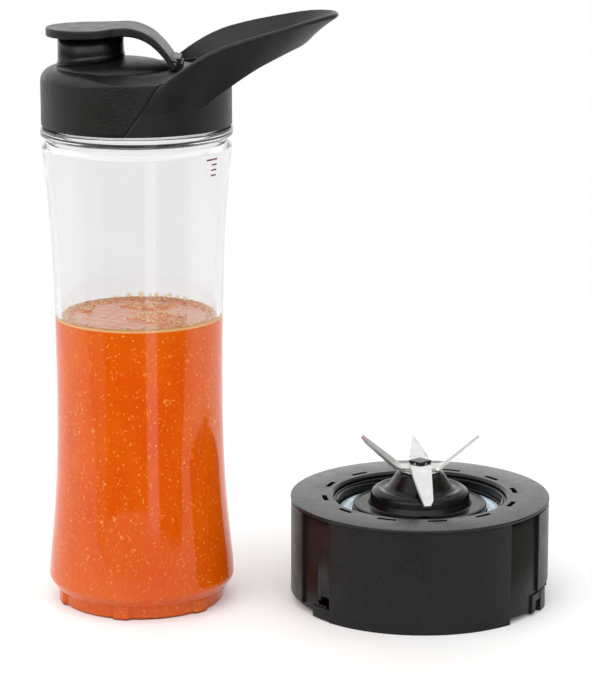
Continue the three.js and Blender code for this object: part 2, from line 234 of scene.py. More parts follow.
def arc(r, a0, a1, steps):
    """Points on an arc about the origin, its angles measured from the front (-Y) towards +X."""
    angles = [math.radians(lerp(a0, a1, k / steps) - 90) for k in range(steps + 1)]
    return [(r * math.cos(a), r * math.sin(a)) for a in angles]


def ring_outline(inner, outer, a0, a1):
    degrees_a_step = 2.5
    steps = max(3, int(abs(a1 - a0) / degrees_a_step))
    return arc(outer, a0, a1, steps) + arc(inner, a1, a0, steps)


def to_unit(x, y, z):
    """From the blade unit's axis to the scene."""
    return (x + UNIT_X, y, z)


def apply_modifiers(obj):
    bpy.context.view_layer.update()
    evaluated = obj.evaluated_get(bpy.context.evaluated_depsgraph_get())
    mesh = bpy.data.meshes.new_from_object(evaluated)
    obj.modifiers.clear()
    obj.data = mesh


def combine(target, tool, operation="DIFFERENCE"):
    """Cuts or joins tool into target by an exact boolean, and removes tool."""
    modifier = target.modifiers.new("boolean", "BOOLEAN")
    modifier.operation = operation
    modifier.solver = "EXACT"
    modifier.object = tool
    apply_modifiers(target)
    bpy.data.objects.remove(tool)


def join(name, objects):
    """One object from several, each kept as its own closed shell."""
    bm = bmesh.new()
    for obj in objects:
        if obj.modifiers:
            apply_modifiers(obj)
        bm.from_mesh(obj.data)
    material = objects[0].data.materials[0]
    for obj in objects:
        bpy.data.objects.remove(obj)
    return place_bmesh(name, bm, material)


def spline(points, t):
    """A point on a smooth curve through the points, t from 0 to 1 by distance along it."""
    points = [Vector(p) for p in points]
    lengths = [0.0]
    for a, b in zip(points, points[1:]):
        lengths.append(lengths[-1] + (b - a).length)
    target = t * lengths[-1]
    i = 0
    while i < len(points) - 2 and lengths[i + 1] < target:
        i += 1
    span = lengths[i + 1] - lengths[i]
    u = (target - lengths[i]) / span

    def tangent(k):
        before, after = max(k - 1, 0), min(k + 1, len(points) - 1)
        return (points[after] - points[before]) / (lengths[after] - lengths[before]) * span

    return ((2 * u**3 - 3 * u**2 + 1) * points[i] + (u**3 - 2 * u**2 + u) * tangent(i)
            + (-2 * u**3 + 3 * u**2) * points[i + 1] + (u**3 - u**2) * tangent(i + 1))


def thread(name, root_r, crest_r, z0, x, material, turns=0.6, width=1.4):
    """Two helical ridges, each a closed bar that tapers in at both ends."""
    steps = 60
    lead = 8.0
    section = [(0, -0.5), (0.55, -0.32), (0.9, -0.2), (1, -0.1), (1, 0.1), (0.9, 0.2), (0.55, 0.32), (0, 0.5)]
    ridges = []
    for start_angle in (0, math.pi):
        verts = []
        for i in range(steps + 1):
            t = i / steps
            angle = t * turns * TAU + start_angle
            fade = math.sin(math.pi * min(0.5, 6 * min(t, 1 - t)))
            for out, up in section:
                r = lerp(root_r, lerp(root_r, crest_r, fade), out)
                verts.append(polar(r, angle, z0 + t * turns * lead + up * width, x))
        faces = grid_faces(steps + 1, len(section), False, True) + end_caps(steps + 1, len(section))
        ridges.append(make_object(name + "_ridge", verts, faces, material, weld=False))
    return join(name, ridges)


# ---- Materials ----
def add_node(tree, kind, inputs=None, **settings):
    """Adds a shader node. Each input, by name or index, is a constant or another node's socket."""
    node = tree.nodes.new("ShaderNode" + kind)
    for key, value in settings.items():
        setattr(node, key, value)
    for key, value in (inputs or {}).items():
        if isinstance(value, bpy.types.NodeSocket):
            tree.links.new(value, node.inputs[key])
        else:
            node.inputs[key].default_value = value
    return node


MIX_A, MIX_B, MIX_RESULT = 6, 7, 2  # a colour mix node's sockets, by index


class Nodes:
    """A material's node tree, with a Principled shader and the object's own coordinates in millimetres."""

    def __init__(self, name, **settings):
        self.material = bpy.data.materials.new(name)
        self.material.use_nodes = True
        self.tree = self.material.node_tree
        self.add = functools.partial(add_node, self.tree)
        self.shader = self.tree.nodes["Principled BSDF"]
        for key, value in settings.items():
            self.shader.inputs[key.replace("_", " ")].default_value = value
        own = self.add("TexCoord").outputs["Object"]
        self.position = self.add("VectorMath", {0: own, "Scale": 1 / MM}, operation="SCALE").outputs[0]

    def feed(self, name, socket):
        self.tree.links.new(socket, self.shader.inputs[name])

    def stretched(self, stretch):
        if not stretch:
            return self.position
        return self.add("VectorMath", {0: self.position, 1: stretch}, operation="MULTIPLY").outputs[0]

    def noise(self, scale, detail=2.0, roughness=0.5, stretch=None):
        return self.add("TexNoise", {"Vector": self.stretched(stretch), "Scale": scale, "Detail": detail,
                                     "Roughness": roughness}).outputs["Fac"]

    def map(self, value, low, high, to_low=0, to_high=1, smooth=False):
        return self.add("MapRange", {"Value": value, "From Min": low, "From Max": high, "To Min": to_low,
                                     "To Max": to_high},
                        interpolation_type="SMOOTHSTEP" if smooth else "LINEAR").outputs["Result"]

    def math(self, operation, a, b=0):
        return self.add("Math", {0: a, 1: b}, operation=operation).outputs[0]

    def mix(self, factor, a, b):
        a, b = ((*c, 1) if isinstance(c, tuple) else c for c in (a, b))
        return self.add("Mix", {"Factor": factor, MIX_A: a, MIX_B: b}, data_type="RGBA").outputs[MIX_RESULT]

    def colour(self, value, low, high, a, b):
        """The base colour goes from a to b as a value rises from low to high."""
        self.feed("Base Color", self.mix(self.map(value, low, high), a, b))

    def roughness(self, value, low, high, a, b):
        self.feed("Roughness", self.map(value, low, high, a, b))

    def bump(self, height, strength, distance):
        self.feed("Normal", self.add("Bump", {"Height": height, "Strength": strength,
                                              "Distance": distance * MM}).outputs["Normal"])


def moulded(name, dark, light, rough, grain, depth, shine):
    """Moulded plastic: a fine spark-eroded grain, faint cloudiness and a little uneven gloss."""
    m = Nodes(name, Specular_IOR_Level=shine)
    cloud = m.noise(0.06, 3)
    speck = m.noise(grain, 2, 0.6)
    m.colour(m.math("ADD", m.math("MULTIPLY", cloud, 0.3), speck), 0.5, 0.8, dark, light)
    m.roughness(m.math("ADD", m.noise(0.15, 3), speck), 0.7, 1.3, rough - 0.07, rough + 0.07)
    m.bump(speck, 1.0, depth)
    return m.material


def steel(name, colour, rough, direction, scratch):
    """Brushed steel: fine scratches along one direction, and cloudy patches of gloss."""
    m = Nodes(name, Metallic=1.0)
    lines = m.noise(9.0, 3, 0.7, direction)
    worn = m.math("ADD", lines, m.noise(0.25, 2))
    m.colour(worn, 0.7, 1.3, tuple(c * 0.82 for c in colour), colour)
    m.roughness(worn, 0.7, 1.3, rough - 0.07, rough + 0.09)
    m.bump(lines, scratch, 0.02)
    return m.material


def cloudy(name, tint, gloss, bump=None, **settings):
    """A material whose colour, gloss and surface follow a noise each.

    tint and gloss are (noise settings, low, high, value at low, value at high); bump is (noise
    settings, strength, depth).
    """
    m = Nodes(name, **settings)
    m.colour(m.noise(*tint[0]), *tint[1:])
    m.roughness(m.noise(*gloss[0]), *gloss[1:])
    if bump:
        m.bump(m.noise(*bump[0]), *bump[1:])
    return m.material


def pulp(m, deep, mid, fleck):
    """Cloudy colour with round flecks of many sizes and short strands; also says where the flecks are."""
    base = m.mix(m.map(m.noise(0.05, 4, 0.6, (1, 1, 0.6)), 0.3, 0.7), deep, mid)
    bend = m.add("TexNoise", {"Vector": m.position, "Scale": 0.5}).outputs["Color"]
    bend = m.add("VectorMath", {0: bend, "Scale": 5.0}, operation="SCALE").outputs[0]
    bent = m.add("VectorMath", {0: m.stretched((1, 1, 0.8)), 1: bend}).outputs[0]
    cells = m.add("TexVoronoi", {"Vector": bent, "Scale": 0.62})
    pick = m.add("SeparateColor", {"Color": cells.outputs["Color"]}).outputs[0]
    size = m.map(pick, 0.68, 1.0, 0.04, 0.36)
    dots = m.map(m.math("SUBTRACT", size, cells.outputs["Distance"]), 0.0, 0.10, 0.0, 0.75)
    line = m.math("ABSOLUTE", m.math("SUBTRACT", m.noise(0.42, 1.5, 0.6, (1.3, 1.3, 1.0)), 0.5))
    short = m.map(m.noise(0.70, 2, 0.6), 0.575, 0.62)
    strands = m.math("MULTIPLY", m.map(line, 0.012, 0.034, 0.9, 0.0), short)
    flecks = m.math("MAXIMUM", dots, strands)
    return m.mix(flecks, base, fleck), flecks


def drink():
    m = Nodes("orange_smoothie", IOR=1.36, Specular_IOR_Level=0.0)
    colour, flecks = pulp(m, (0.85, 0.112, 0.0005), (0.90, 0.17, 0.001), (1.0, 0.50, 0.10))
    m.feed("Base Color", colour)
    m.roughness(flecks, 0, 1, 0.28, 0.45)
    m.bump(flecks, 0.3, 0.15)
    return m.material


def drink_top():
    """The drink's surface: glossy and rippled, with paler foam where it meets the wall."""
    m = Nodes("smoothie_surface", IOR=1.6, Specular_IOR_Level=1.0)
    # These colours are much paler than the drink's own: partly a paler top, and partly painted light and a
    # painted sheen of the white above.
    colour, _ = pulp(m, (1.0, 0.26, 0.08), (1.0, 0.42, 0.16), (1.0, 0.65, 0.32))
    spot = m.add("SeparateXYZ", {0: m.position}).outputs
    x, y = m.math("SUBTRACT", spot["X"], BOTTLE_X), spot["Y"]
    radius = m.math("SQRT", m.math("ADD", m.math("MULTIPLY", x, x), m.math("MULTIPLY", y, y)))
    ragged = m.math("ADD", radius, m.map(m.noise(0.5, 3), 0.3, 0.7, -0.9, 0.9))
    foam = m.map(ragged, DRINK_R - 2.6, DRINK_R - 0.9, smooth=True)
    m.feed("Base Color", m.mix(foam, colour, (1.0, 0.55, 0.20)))
    m.roughness(m.noise(0.4, 3), 0.3, 0.7, 0.06, 0.16)
    m.bump(m.noise(0.16, 2, 0.5, (0.5, 1.4, 1)), 0.2, 0.8)
    return m.material


def grey(v):
    return (v, v, v)


lid_black = moulded("grained_black_plastic", grey(0.001), grey(0.006), 0.39, 1.5, 0.20, 0.28)
matte_black = moulded("matte_black_plastic", grey(0.002), grey(0.008), 0.36, 1.5, 0.12, 0.22)
cover_black = moulded("ring_black_plastic", grey(0.003), grey(0.007), 0.27, 1.2, 0.02, 0.28)
satin_black = moulded("satin_black_plastic", grey(0.002), grey(0.004), 0.24, 1.6, 0.006, 0.17)
rubber_black = moulded("black_rubber", grey(0.008), (0.014, 0.013, 0.013), 0.60, 1.4, 0.03, 0.4)
blade_x = steel("blade_steel_lower", (0.50, 0.50, 0.495), 0.24, (0.08, 1.0, 0.5), 0.5)
blade_y = steel("blade_steel_upper", (0.64, 0.64, 0.635), 0.20, (1.0, 0.08, 0.5), 0.4)
turned_steel = steel("turned_steel", (0.45, 0.45, 0.44), 0.28, (1.0, 1.0, 0.2), 0.15)
dark_steel = steel("oxide_dark_steel", (0.035, 0.033, 0.030), 0.30, (1.0, 1.0, 0.2), 0.2)
smoothie_material = drink()
clear = cloudy("clear_plastic", ((0.04, 3), 0.3, 0.7, (0.905, 0.900, 0.905), (0.925, 0.919, 0.925)),
               ((0.12, 3), 0.35, 0.7, 0.0, 0.018), ((0.06, 1), 0.03, 0.5), Transmission_Weight=1.0, IOR=1.41)
froth_material = cloudy("froth", ((0.9, 3), 0.38, 0.62, (1.0, 0.42, 0.17), (1.0, 0.74, 0.48)),
                        ((2.0,), 0.3, 0.7, 0.12, 0.3), ((3.0,), 0.25, 0.1), IOR=1.33)
film_material = cloudy("bubble_film", ((0.7,), 0.3, 0.7, (1.0, 0.72, 0.42), (1.0, 0.9, 0.75)),
                       ((1.5,), 0.3, 0.7, 0.02, 0.08), Transmission_Weight=0.85, IOR=1.33)
ink = cloudy("printed_ink", ((1.6, 4, 0.7), 0.35, 0.65, (0.10, 0.012, 0.012), (0.25, 0.06, 0.05)),
             ((1.6, 4, 0.7), 0.3, 0.7, 0.35, 0.55), IOR=1.45)
silicone_material = cloudy("translucent_silicone",
                           ((0.3, 3), 0.3, 0.7, (0.40, 0.50, 0.58), (0.58, 0.68, 0.76)),
                           ((1.5,), 0.3, 0.7, 0.25, 0.4), ((2.0,), 0.3, 0.03), IOR=1.41,
                           Subsurface_Weight=0.35, Subsurface_Scale=0.004, Subsurface_Radius=(0.8, 1.0, 1.2))
bronze_material = cloudy("sintered_bronze", ((3.0, 4, 0.7), 0.3, 0.7, (0.30, 0.17, 0.07), (0.55, 0.36, 0.17)),
                         ((3.0, 4, 0.7), 0.3, 0.7, 0.35, 0.55), ((3.0, 4, 0.7), 0.3, 0.05), Metallic=1.0)


def finish_piece(obj, body, slot, *nodes):
    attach(obj, body)
    if nodes:
        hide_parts(*nodes)


# ---- Bottle ----
WALL = 2.4
FLOOR_Z = 0.65  # top of the bottle's thin floor
# The body's outer wall, as (radius, height).
SIDE = [(38.9, 13.5), (37.92, 23), (36.68, 36), (35.68, 49), (35.02, 62), (34.64, 78), (34.5, 95),
        (34.6, 111), (34.85, 127), (35.25, 142), (35.85, 157), (36.75, 170), (37.7, 181), (38.9, 191.4)]


def side_radius(z):
    """Outer radius of the bottle's body at a height."""
    for (r0, z0), (r1, z1) in zip(SIDE, SIDE[1:]):
        if z <= z1:
            break
    return lerp(r0, r1, (z - z0) / (z1 - z0))


DRINK_R = side_radius(LIQUID_Z) - WALL
side_curve = [tuple(spline(SIDE, k / 44)) for k in range(45)]
LUG_TOP = 5.6
LUG_RISE = 1.5
FOOT_R = 30.5


def lug_swell(angle, r, z):
    """Six lugs round the foot ring."""
    if z >= LUG_TOP or r <= FOOT_R:
        return r, z
    from_lug = (math.degrees(angle) - 18 + 30) % 60 - 30
    across = abs(math.radians(from_lug)) * r
    return r + LUG_RISE * (1 - smoothstep(3.0, 3.5, across)) * smoothstep(FOOT_R, 32, r), z


surface_material = drink_top()


def bottle():
    outer = rounded([(0, 0.3), (28.0, 0.3, 0.2), (29.0, 0, 0.2), (33.8, 0, 1.0), (33.8, 5.5, 0.5),
                     (36.2, 6.6, 1.6), (38.9, 10.6, 3.6), (38.75, 16.5)], 6)
    body = [p for p in side_curve if 17.2 < p[1] < 190.4]
    neck = rounded([(38.6, 189.5), (38.95, 192.6, 2.0), (36.9, 195.2, 1.3), (36.9, 197.0, 0.5),
                    (39.4, 197.7, 0.6), (39.4, 200.9, 0.7), (33.4, 200.9, 0.5), (33.4, RIM_Z, 0.6),
                    (31.2, RIM_Z, 0.6), (31.2, 197.9, 0.7), (34.9, 197.1, 0.6), (35.6, 184)], 5)[1:-1]
    inner = [(r - WALL, z) for r, z in reversed(side_curve) if 15 < z < 186]
    floor = rounded([(36.3, 17), (36.0, 10.2, 3.2), (33.1, 7.0, 1.0), (33.1, FLOOR_Z, 0.6), (0, FLOOR_Z)],
                    6)[1:]
    profile = outer[:-1] + body + neck + inner + floor
    verts, faces = turned_mesh(profile, BOTTLE_X, 0, 384, lug_swell)
    shell = make_object("bottle_body", verts, faces, clear)
    ridges = thread("neck_thread", 33.25, 34.6, 202.8, BOTTLE_X, clear)
    combine(shell, ridges, "UNION")
    return shell


def smoothie():
    into_wall = 0.12
    side = [(r - WALL + into_wall, z) for r, z in side_curve if 15 < z < LIQUID_Z - 3]
    wall_r = DRINK_R + into_wall
    bottom = rounded([(0, FLOOR_Z - 0.1), (33.22, FLOOR_Z - 0.1, 0.6), (33.22, 6.9, 1.0), (36.14, 10.1, 3.2),
                      (36.44, 17)], 6)[:-1]
    profile = bottom + side + [(wall_r, LIQUID_Z - 2.2), (wall_r, LIQUID_Z - 1.35), (0, LIQUID_Z - 1.35)]
    verts, faces = turned_mesh(profile, BOTTLE_X, 0, 384, lug_swell)
    return make_object("smoothie_fill", verts, faces, smoothie_material, 60)


# ---- Drink surface: a rippled skin with a meniscus, froth beads and bubbles ----
# Patches of froth, as (x, y) of the middle and half the size along each.
PATCHES = [(8.0, -6.0, 12.5, 9.5), (4.0, 16.5, 12.5, 5.5), (-25.5, 9.0, 6.0, 4.5), (14.0, -17.0, 6.5, 5.0)]


def patch_weight(x, y):
    best = 0
    for px, py, rx, ry in PATCHES:
        d = math.hypot((x - px) / rx, (y - py) / ry)
        best = max(best, 1 - smoothstep(0.55, 1.1, d))
    return best


def surface_height(x, y):
    meniscus = 0.9 * math.exp((math.hypot(x, y) - DRINK_R) / 1.1)
    ripple = 0.10 * math.sin(0.55 * x + 0.9 * y) + 0.07 * math.sin(1.3 * y - 0.4 * x + 1.0)
    return LIQUID_Z - 0.75 + meniscus + ripple + 0.5 * patch_weight(x, y)


def drink_surface():
    rings = 60
    segments = 192
    edge = DRINK_R + 0.12
    turns = [TAU * j / segments for j in range(segments)]
    verts = [(BOTTLE_X, 0, surface_height(0, 0))]
    for i in range(1, rings + 1):
        r = edge * (1 - (1 - i / rings) ** 1.5)
        verts += [polar(r, a, surface_height(r * math.cos(a), r * math.sin(a))) for a in turns]
    top = len(verts)
    verts += [polar(edge, a, LIQUID_Z - 1.5) for a in turns]
    verts.append((BOTTLE_X, 0, LIQUID_Z - 1.8))
    faces = [(0, 1 + j, 1 + (j + 1) % segments) for j in range(segments)]
    faces += grid_faces(rings + 1, segments, False, True, 1)
    faces += [(top + j, len(verts) - 1, top + (j + 1) % segments) for j in range(segments)]
    return make_object("smoothie_skin", verts, faces, surface_material)


def beads(name, spots, material, flatten=0.75, detail=2):
    bm = bmesh.new()
    for x, y, z, r in spots:
        place = Matrix.Translation(Vector((x, y, z)) * MM) @ Matrix.Diagonal((1, 1, flatten, 1))
        bmesh.ops.create_icosphere(bm, subdivisions=detail, radius=r * MM, matrix=place)
    shade_smooth(bm)
    return place_bmesh(name, bm, material)


def froth_spots():
    """Small bubbles, thick on the patches and along the wall, none in another."""
    spots = []

    def try_spot(x, y, r, limit):
        if math.hypot(x, y) + r > limit:
            return
        if all((sx - x) ** 2 + (sy - y) ** 2 >= (0.8 * (sr + r)) ** 2 for sx, sy, _, sr in spots):
            spots.append((x, y, surface_height(x, y) + 0.25 * r, r))

    for _ in range(5200):
        angle, rad = rng.uniform(0, TAU), DRINK_R * math.sqrt(rng.random())
        x, y = rad * math.cos(angle), rad * math.sin(angle)
        if rng.random() < patch_weight(x, y):
            try_spot(x, y, rng.choice((0.3, 0.45, 0.6, 0.85, 1.2)), DRINK_R - 0.4)
    for _ in range(2600):
        angle = rng.uniform(0, TAU)
        r = rng.choice((0.25, 0.32, 0.42, 0.6, 0.8))
        rad = DRINK_R + 0.1 - r - rng.expovariate(1.1)
        if rad > 0:
            try_spot(rad * math.cos(angle), rad * math.sin(angle), r, DRINK_R + 0.12)
    return [(BOTTLE_X + x, y, z, r) for x, y, z, r in spots]


def big_bubbles():
    """Larger clear bubbles against the far wall, and a few at the near wall."""
    spots = []
    for degrees, r, lift in ((101, 1.1, 1.3), (91, 1.35, 1.5), (84, 0.8, 1.2), (79, 1.1, 1.4),
                             (73, 0.75, 1.0), (68, 1.2, 1.4), (61, 0.9, 1.1), (54, 1.0, 0.8), (110, 0.8, 0.8),
                             (47, 0.7, 0.4), (-72, 0.8, 0), (-66, 0.6, 0), (-128, 0.65, 0), (-140, 0.5, 0),
                             (-150, 0.7, 0)):
        spots.append((*polar(DRINK_R - r - 0.1, math.radians(degrees), LIQUID_Z - 0.1 + lift), r))
    return spots


def fill_marks():
    """A short printed scale in place of any wording: one long tick over three short ones."""
    steps = 16
    middle = math.radians(-36)
    ticks = []
    for k in range(4):
        z = 190.5 - 2.2 * k
        half, aside = (3.4, 0) if k == 0 else (1.7, 1.7)
        verts = []
        for i in range(steps + 1):
            for dz, lift in ((-0.33, 0.03), (0.33, 0.03), (0.33, -0.05), (-0.33, -0.05)):
                r = side_radius(z) + lift
                a = middle + (i / steps - 0.5) * 2 * half / r + aside / r
                verts.append(polar(r, a, z + dz))
        faces = grid_faces(steps + 1, 4, False, True) + end_caps(steps + 1, 4)
        ticks.append(make_object("mark", verts, faces, ink, 40, weld=False))
    return join("fill_marks", ticks)


finish_piece(bottle(), "bottle", "clear_plastic", "bottle")
finish_piece(smoothie(), "bottle", "smoothie", "smoothie")
finish_piece(drink_surface(), "bottle", "smoothie")
finish_piece(beads("froth_beads", froth_spots(), froth_material), "bottle", "smoothie")
finish_piece(beads("froth_bubbles", big_bubbles(), film_material, 0.9, 3), "bottle", "clear_plastic")
finish_piece(fill_marks(), "bottle", "matte_black")


# ---- Lid ----
LID_R = 39.0
LID_BOTTOM = 201.6
DECK_Z = 222.6
TOP_Z = 225.0
SPOUT_X = -18.8
DOME_X = -8.8
DOME_R = 23.4
DOME_BASE = 224.4
DOME_RISE = 4.5
HINGE = (16.2, 227.9)
SEAM_GAP = 0.22
SHELL_REAR_R = 36.75  # the shell's radius under the loop's collar


def seam_x(z):
    return -2.4 + (min(z, DECK_Z) - 203) * 0.695


def seam_angle(z):
    """Half the angle that the front part of the skirt leaves open towards +X, at a height."""
    return math.acos(seam_x(z) / LID_R)


def rim_round(angle):
    """Radius of the skirt's top edge and its height: soft on the spout's side, crisp towards the loop."""
    from_spout = abs(math.degrees(angle) % 360 - 180)
    soft = 1 - smoothstep(48, 82, from_spout)
    return lerp(0.6, 5.2, soft), lerp(DECK_Z, TOP_Z, soft)


def top_height(x, y, rho, angle):
    radius, crest = rim_round(angle)
    if rho > LID_R - radius:
        over = rho - (LID_R - radius)
        return crest - radius + math.sqrt(max(radius**2 - over**2, 0))
    inward = smoothstep(0, 14, LID_R - radius - rho)
    z = lerp(crest, TOP_Z - 0.3, inward)
    hole = math.hypot(x - SPOUT_X, y)
    if hole < 10.4:
        z = lerp(221.0, z, smoothstep(9.0, 10.4, hole))
    return z


def lid_shell():
    """The cap as rows of points from the skirt's foot to the top's middle, then back under it."""
    front, rear = 220, 120
    columns = [("front", lerp(j / front, 0.5 - 0.5 * math.cos(math.pi * j / front), 0.15))
               for j in range(front + 1)]
    columns += [("rear", j / rear) for j in range(1, rear)]
    rows = [("skirt", k / 26) for k in range(27)]
    rows += [("rim", k / 10) for k in range(1, 11)]
    rows += [("top", k / 46) for k in range(1, 47)]
    inner = rounded([(0, 220.2), (34.95, 220.2, 2.5), (34.95, 214.0, 0.4), (31.7, 213.8, 0.3),
                     (31.7, 212.2, 0.3), (34.95, 212.0, 0.4), (34.95, LID_BOTTOM, 0.3),
                     (38.6, LID_BOTTOM, 0.2)], 3)[:-1]
    rows += [("inner", p) for p in inner]
    verts = [lid_point(kind, value, side, t) for kind, value in rows for side, t in columns]
    faces = grid_faces(len(rows), len(columns), True, True)
    shell = make_object("lid_shell_cap", verts, faces, lid_black)
    dome = turned("lid_dome", dome_profile(), lid_black, BOTTLE_X + DOME_X, shape=dome_hole)
    spout = turned("lid_spout", [(8.6, 221.4), (13.6, 221.4), (12.9, 227.8, 1.2), (11.6, 231.0, 3.0),
                                 (10.9, 236.6, 0.9), (8.6, 236.6, 0.9)], lid_black, BOTTLE_X + SPOUT_X, 96)
    ridges = thread("lid_thread", 35.2, 34.0, 204.8, BOTTLE_X, lid_black)
    return join("lid_shell_body", [shell, dome, spout, hinge_lug(), ridges])


def lid_point(kind, value, side, t):
    """A point of the cap: `value` is how far along its part of the outline, t how far round its side."""
    if kind == "inner":
        return polar(value[0], column_angle(side, t, LID_BOTTOM), value[1])
    angle = column_angle(side, t, DECK_Z)
    radius, crest = rim_round(angle)
    if kind == "skirt":
        z = lerp(LID_BOTTOM, crest - radius, value)
        r = LID_R - (0.35 if value == 0 else 0)
        angle = column_angle(side, t, z)
    elif kind == "rim":
        turn = value * math.pi / 2
        r = LID_R - radius + radius * math.cos(turn)
        z = crest - radius + radius * math.sin(turn)
        angle = column_angle(side, t, z)
    else:
        r = (LID_R - radius) * (1 - value)
        z = top_height(r * math.cos(angle), r * math.sin(angle), r, angle)
    if side == "rear":
        r = min(r, SHELL_REAR_R)
    elif t in (0, 1):
        r = min(r, LID_R - 0.3)
    return polar(r, angle, z)


def column_angle(side, t, z):
    half = seam_angle(z) + SEAM_GAP / 2 / LID_R
    if side == "front":
        return lerp(half, TAU - half, t)
    return lerp(-half, half, t)


def dome_profile():
    """The low dome's outline, from under the deck up to its middle."""
    steps = 14
    points = [(0, 221.2), (DOME_R, 221.2), (DOME_R, DOME_BASE)]
    for k in range(1, steps + 1):
        a = k / steps * math.pi / 2
        points.append((DOME_R * math.cos(a) if k < steps else 0, DOME_BASE + DOME_RISE * math.sin(a)))
    return points


def dome_hole(angle, r, z):
    """Sinks the dome inside the spout, so the spout's bore is deep."""
    from_spout = math.hypot(DOME_X + r * math.cos(angle) - SPOUT_X, r * math.sin(angle))
    if z > 222 and from_spout < 11:
        return r, lerp(221.6, z, smoothstep(9.2, 11, from_spout))
    return r, z


def hinge_lug():
    """The lid's half of the flap's hinge: a rounded block behind the flap's arm."""
    x, z = HINGE
    outline = rounded([(x - 2.5, 223.2), (x + 3.0, 223.2), (x + 3.0, z - 0.6, 0.5), (x + 2.4, z - 0.6, 0.2),
                       (x + 2.4, z + 1.5, 0.7), (x - 2.5, z + 1.5, 1.6)], 5, 0)
    return prism("hinge_lug", outline, -8.4, 8.4, lid_black, 0.35, 2,
                 lambda a, b, c: (BOTTLE_X + a, c, b))


finish_piece(lid_shell(), "lid", "matte_black", "lid_shell")


# ---- Carry loop ----
# The upper and lower edges of the near half of the loop, from the lid to the tip.
LOOP_TOP = [(11.2, -37.35, 222.6), (16.6, -37.3, 226.4), (22, -37.0, 229.8), (29, -36.2, 233.6),
            (36, -34.9, 236.6), (42.5, -33.2, 238.7), (49.5, -30.9, 240.6), (58, -27.3, 242.6),
            (66.3, -22.7, 244.4), (73, -17.3, 245.6), (77.8, -11.8, 246.1), (80.9, -6.2, 246.2),
            (82, 0, 246.2)]
LOOP_BOTTOM = [(3.6, -38.35, 212.4), (12, -36.75, 212.4), (19, -33.9, 212.0), (24.5, -30.6, 211.9),
               (28.2, -28.9, 213.2), (32, -28.6, 216.4), (36.8, -28.3, 220), (49, -24.8, 227.8),
               (60.4, -18.2, 233.1), (67.9, -9.8, 235.9), (71.2, 0, 237.4)]
LOOP_T = 2.1


def loop_outer(s, v):
    """A point on the loop's outer face: s from the lid to the tip, v from lower to upper edge."""
    low, high = spline(LOOP_BOTTOM, s), spline(LOOP_TOP, s)
    hollow = lerp(0.264, 0, smoothstep(0.3, 0.8, s))
    flat = lerp(0.5, 0.36, smoothstep(0.7, 1.0, s))
    bend = Vector((lerp(low.x, high.x, flat), lerp(low.y, high.y, 0.5 - hollow), lerp(low.z, high.z, 0.5)))
    return low * (1 - v) ** 2 + bend * 2 * v * (1 - v) + high * v * v


def loop_frame(s, v):
    e = 0.004
    along = loop_outer(min(s + e, 1), v) - loop_outer(max(s - e, 0), v)
    if s >= 1:
        along = Vector((0, 1, 0))
    up = loop_outer(s, min(v + 0.01, 1)) - loop_outer(s, max(v - 0.01, 0))
    inward = up.cross(along)
    if inward.y < 0 and s < 0.9 or s >= 0.9 and inward.x > 0:
        inward.negate()
    return inward.normalized(), up.normalized()


def loop_section(s):
    """Points round the loop's cross-section, its rims rounded."""
    height = 22
    rim_steps = 7

    def rim(edge, v, bulge):
        inward, up = loop_frame(s, v)
        base = spline(edge, s)
        angles = [math.pi * k / rim_steps for k in range(1, rim_steps)]
        return [base + inward * LOOP_T * (0.5 - 0.5 * math.cos(a)) + up * bulge * math.sin(a) for a in angles]

    levels = [k / height for k in range(height + 1)]
    outer = [loop_outer(s, v) for v in levels]
    inner = [loop_outer(s, v) + loop_frame(s, v)[0] * LOOP_T for v in reversed(levels)]
    return outer + rim(LOOP_TOP, 1, 0.85) + inner + rim(LOOP_BOTTOM, 0, -0.8)[::-1]


def carry_loop():
    stations = 96
    sections = [loop_section(i / stations) for i in range(stations + 1)]
    near = [[(BOTTLE_X + p.x, p.y, p.z - 0.85) for p in s] for s in sections]
    rows = near + [[(x, -y, z) for x, y, z in s] for s in reversed(near[:-1])]
    size = len(rows[0])
    verts = [p for row in rows for p in row]
    faces = grid_faces(len(rows), size, False, True) + end_caps(len(rows), size)
    strap = make_object("carry_loop_band", verts, faces, lid_black, 60)
    return join("carry_loop_body", [strap, loop_collar()])


def loop_collar():
    """The half collar that wraps the lid's skirt behind the seam."""
    profile = rounded([(37.05, 201.9), (38.98, 201.7, 0.35), (38.98, 225.0, 0.7), (37.05, 225.0, 0.5)], 4)
    columns = 150
    verts = []
    for r, z in profile:
        for j in range(columns + 1):
            t = j / columns
            height = z
            if z > 215:
                height -= (1 - smoothstep(0.0, 0.16, min(t, 1 - t))) * 2.6
            half = seam_angle(height) - SEAM_GAP / 2 / LID_R
            eased = r - 0.25 if t in (0, 1) and r > 38 else r
            verts.append(polar(eased, lerp(-half, half, t), height))
    faces = grid_faces(len(profile), columns + 1, True, False)
    faces += [tuple(i * (columns + 1) for i in range(len(profile))),
              tuple(i * (columns + 1) + columns for i in range(len(profile)))]
    return make_object("loop_collar", verts, faces, lid_black, 60)


finish_piece(carry_loop(), "lid", "matte_black", "carry_loop")


# ---- Spout flap ----
FLAP_T = 3.5
FLAP_CENTRE = -19.1
SKIRT_X = -18.3
FLAP_R = 17.4
ARM_HALF = 13.5
FLAP_TOP = [(-40, 241.3), (-30, 241.3), (-22, 241.32), (-14.9, 241.45), (-8.5, 241.95), (-3.2, 242.15),
            (0.7, 241.5), (4.4, 240.1), (7.3, 238.3), (10.2, 235.7), (13.1, 232.3), (15.3, 229.1),
            (16.9, 226.2)]


